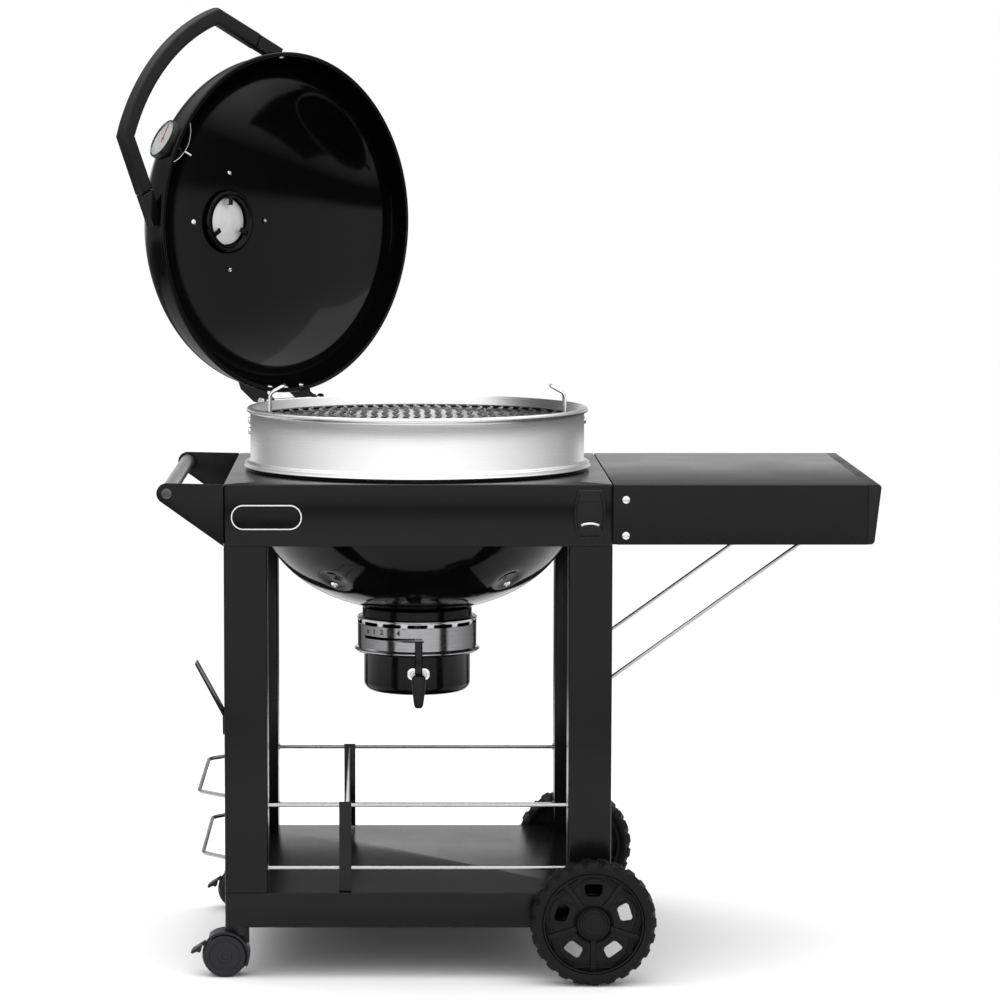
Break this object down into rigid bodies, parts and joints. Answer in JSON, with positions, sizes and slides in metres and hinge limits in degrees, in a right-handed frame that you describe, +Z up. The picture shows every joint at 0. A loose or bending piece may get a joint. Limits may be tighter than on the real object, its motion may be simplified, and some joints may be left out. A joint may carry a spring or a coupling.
{
  "type": "kettle charcoal grill",
  "caption": "Kettle charcoal grill on a rolling cart, with a hinged lid held open, a folding side shelf, a bottom shelf with rails, and an ash catcher.",
  "frame": {"origin": "on the floor, on the kettle's vertical axis", "axes": "+Z up, the front of the cart faces -Y, +X is the side shelf's side"},
  "size_m": [1.2712, 0.847, 1.6096],
  "materials": {
    "cart_steel": "satin black powder coat",
    "gloss_black_steel": "gloss black coat",
    "dark_fastener": "dark zinc",
    "bright_steel": "bright zinc",
    "rail_steel": "plated wire",
    "plaque": "black plaque with a plain bright border",
    "black_plastic": "moulded black plastic",
    "handle_tube": "dark brushed aluminium",
    "wheel_plastic": "moulded black plastic",
    "tyre": "black wheel tread",
    "caster_plastic": "dark grey plastic",
    "enamel": "gloss black porcelain enamel",
    "brushed_ring": "brushed stainless steel",
    "cast_grate": "cast iron",
    "wire_grate": "stainless steel wire",
    "polished_collar": "polished stainless steel",
    "damper_steel": "aluminised steel",
    "bucket_black": "satin black enamel",
    "vent_aluminium": "bright aluminium",
    "needle_red": "red",
    "dial_glass": "clear"
  },
  "bodies": {
    "cart": {"cart_top_tray": "cart_steel", "leg_front_left": "cart_steel", "leg_front_right": "cart_steel", "leg_rear_left": "cart_steel", "leg_rear_right": "cart_steel", "leg_bolts": "dark_fastener", "bottom_shelf": "cart_steel", "caster_plates": "cart_steel", "storage_rails": "rail_steel", "left_side_rails": "rail_steel", "tool_rest_plate": "cart_steel", "front_plaque": "plaque", "bottle_opener_plate": "black_plastic", "bottle_opener_tooth": "bright_steel", "handle_bracket_front": "cart_steel", "handle_bracket_rear": "cart_steel", "cart_handle_bar": "handle_tube", "handle_bolts": "dark_fastener", "axle": "rail_steel", "wheel_caps": "wheel_plastic", "caster_stems": "bright_steel", "side_shelf_brackets": "cart_steel", "shelf_bolts": "bright_steel", "bowl": "enamel", "kettle_bolts": "bright_steel", "grate_supports": "dark_fastener", "kettle_ring": "brushed_ring", "charcoal_grate": "cast_grate", "cooking_grate": "wire_grate", "air_collar": "polished_collar", "hinge_base": "gloss_black_steel", "hinge_pin": "bright_steel"},
    "divider": {"shelf_divider": "gloss_black_steel"},
    "front_wheel": {"wheel_front_hub": "wheel_plastic", "wheel_front_tyre": "tyre"},
    "rear_wheel": {"wheel_rear_hub": "wheel_plastic", "wheel_rear_tyre": "tyre"},
    "front_caster": {"caster_front_hood": "caster_plastic"},
    "front_caster_wheels": {"caster_front_wheels": "caster_plastic"},
    "front_caster_brake": {"caster_front_brake": "caster_plastic"},
    "rear_caster": {"caster_rear_hood": "caster_plastic"},
    "rear_caster_wheels": {"caster_rear_wheels": "caster_plastic"},
    "rear_caster_brake": {"caster_rear_brake": "caster_plastic"},
    "side_shelf": {"side_shelf_panel": "cart_steel", "side_shelf_end_cap": "black_plastic", "shelf_screws": "bright_steel"},
    "stay": {"shelf_stay": "rail_steel"},
    "damper": {"damper_rotor": "damper_steel"},
    "bucket": {"ash_bucket": "bucket_black", "ash_bucket_grip": "polished_collar"},
    "lid": {"lid_shell": "enamel", "hinge_arms": "gloss_black_steel", "lid_handle_grip": "black_plastic", "lid_handle_brackets": "black_plastic", "lid_screws": "bright_steel", "top_vent_base": "bucket_black", "thermometer_case": "black_plastic", "thermometer_glass": "dial_glass"},
    "vent_cap": {"top_vent_cap": "vent_aluminium"},
    "needle": {"thermometer_needle": "needle_red"}
  },
  "joints": [
    {"name": "lid_close", "type": "hinge", "parent": "cart", "child": "lid", "pos_m": [-0.2209, 0.2209, 0.924], "axis": [0.7071, 0.7071, 0], "range_deg": [0, 90]},
    {"name": "top_vent_turn", "type": "hinge", "parent": "lid", "child": "vent_cap", "pos_m": [-0.34104, 0.34104, 1.2364], "axis": [-0.7071, 0.7071, 0], "range_deg": [0, 30]},
    {"name": "thermometer_needle_turn", "type": "hinge", "parent": "lid", "child": "needle", "pos_m": [-0.43361, 0.07735, 1.38184], "axis": [0.7838, 0.3933, -0.4806], "range_deg": [0, 270], "stiffness_Nm_per_rad": 0.001},
    {"name": "damper_lever_turn", "type": "hinge", "parent": "cart", "child": "damper", "pos_m": [0, 0, 0.537], "axis": [0, 0, 1], "range_deg": [-48, 0]},
    {"name": "ash_bucket_drop", "type": "slide", "parent": "cart", "child": "bucket", "axis": [0, 0, -1], "range_m": [0, 0.1]},
    {"name": "side_shelf_fold", "type": "hinge", "parent": "cart", "child": "side_shelf", "pos_m": [0.34, 0, 0.738], "axis": [0, 1, 0], "range_deg": [0, 90]},
    {"name": "shelf_stay_swing", "type": "hinge", "parent": "cart", "child": "stay", "pos_m": [0.305, 0, 0.4812], "axis": [0, 1, 0], "range_deg": [0, 122.9]},
    {"name": "divider_slide", "type": "slide", "parent": "cart", "child": "divider", "axis": [1, 0, 0], "range_m": [-0.11, 0.35]},
    {"name": "front_wheel_spin", "type": "hinge", "parent": "cart", "child": "front_wheel", "pos_m": [0.2875, -0.347, 0.104], "axis": [0, 1, 0], "continuous": true},
    {"name": "rear_wheel_spin", "type": "hinge", "parent": "cart", "child": "rear_wheel", "pos_m": [0.2875, 0.347, 0.104], "axis": [0, 1, 0], "continuous": true},
    {"name": "front_caster_swivel", "type": "hinge", "parent": "cart", "child": "front_caster", "pos_m": [-0.2945, -0.277, 0.08], "axis": [0, 0, 1], "continuous": true},
    {"name": "front_caster_roll", "type": "hinge", "parent": "front_caster", "child": "front_caster_wheels", "pos_m": [-0.32, -0.277, 0.0355], "axis": [0, 1, 0], "continuous": true},
    {"name": "front_caster_brake_press", "type": "hinge", "parent": "front_caster", "child": "front_caster_brake", "pos_m": [-0.3545, -0.277, 0.0535], "axis": [0, -1, 0], "range_deg": [0, 5]},
    {"name": "rear_caster_swivel", "type": "hinge", "parent": "cart", "child": "rear_caster", "pos_m": [-0.2945, 0.277, 0.08], "axis": [0, 0, 1], "continuous": true},
    {"name": "rear_caster_roll", "type": "hinge", "parent": "rear_caster", "child": "rear_caster_wheels", "pos_m": [-0.32, 0.277, 0.0355], "axis": [0, 1, 0], "continuous": true},
    {"name": "rear_caster_brake_press", "type": "hinge", "parent": "rear_caster", "child": "rear_caster_brake", "pos_m": [-0.3545, 0.277, 0.0535], "axis": [0, -1, 0], "range_deg": [0, 5]}
  ],
  "couplings": [
    {"joint": "shelf_stay_swing", "follows": "side_shelf_fold", "ratio": 1.3644}
  ]
}
